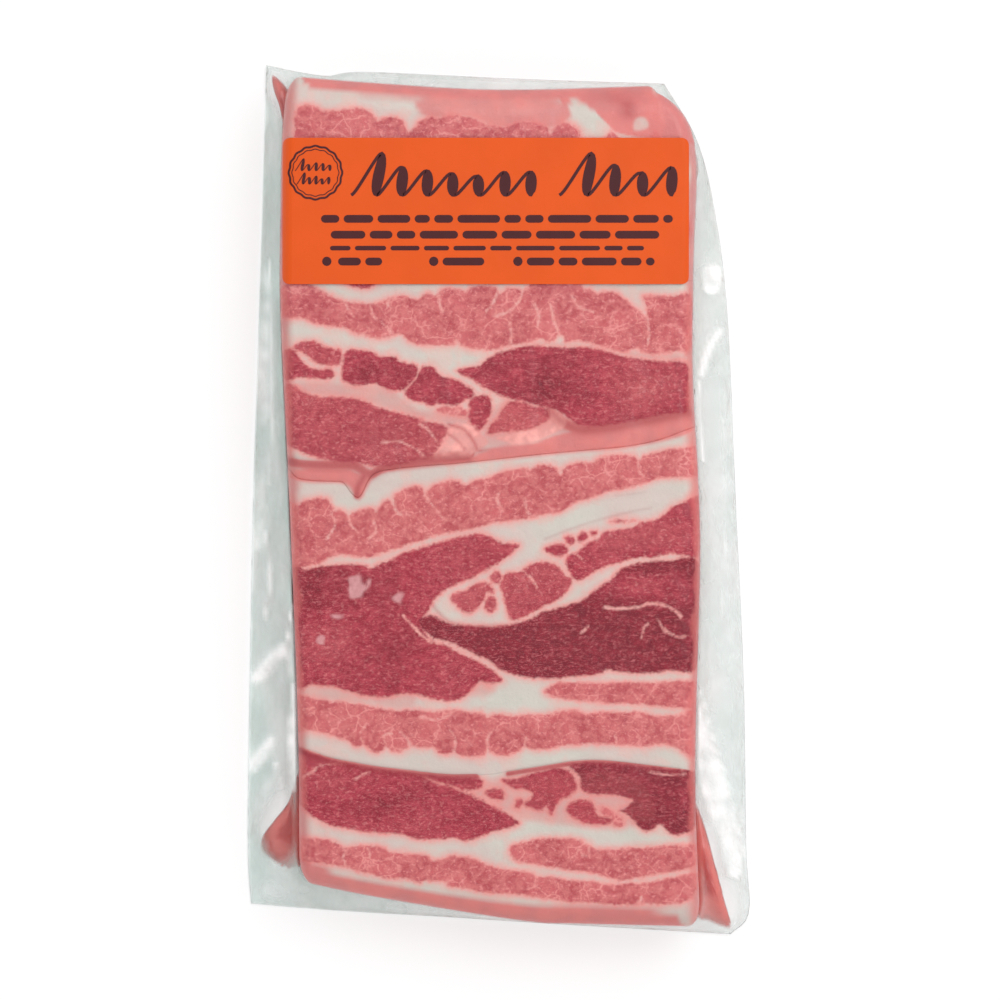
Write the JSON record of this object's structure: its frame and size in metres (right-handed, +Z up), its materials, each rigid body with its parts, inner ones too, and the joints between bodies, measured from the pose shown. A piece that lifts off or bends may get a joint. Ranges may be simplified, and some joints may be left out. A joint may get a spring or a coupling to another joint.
{
  "type": "vacuum-packed pork belly slab",
  "caption": "Flat slab of sliced raw pork belly sealed in a clear vacuum pouch, with film margins all round and an adhesive label across one end.",
  "frame": {"origin": "centre of the pack's bounding box, on the face it rests on", "axes": "+Y along the slab towards the labelled end, +X across it to the right seen from above, +Z up"},
  "size_m": [0.1263, 0.2166, 0.0258],
  "materials": {
    "film": "clear, glossy, clinging film",
    "label": "smooth coated paper, bright orange",
    "ink": "dark printed ink",
    "meat": "raw lean and fat, moist under the film"
  },
  "bodies": {
    "root": {"pouch": "film", "label": "label"}
  },
  "joints": []
}
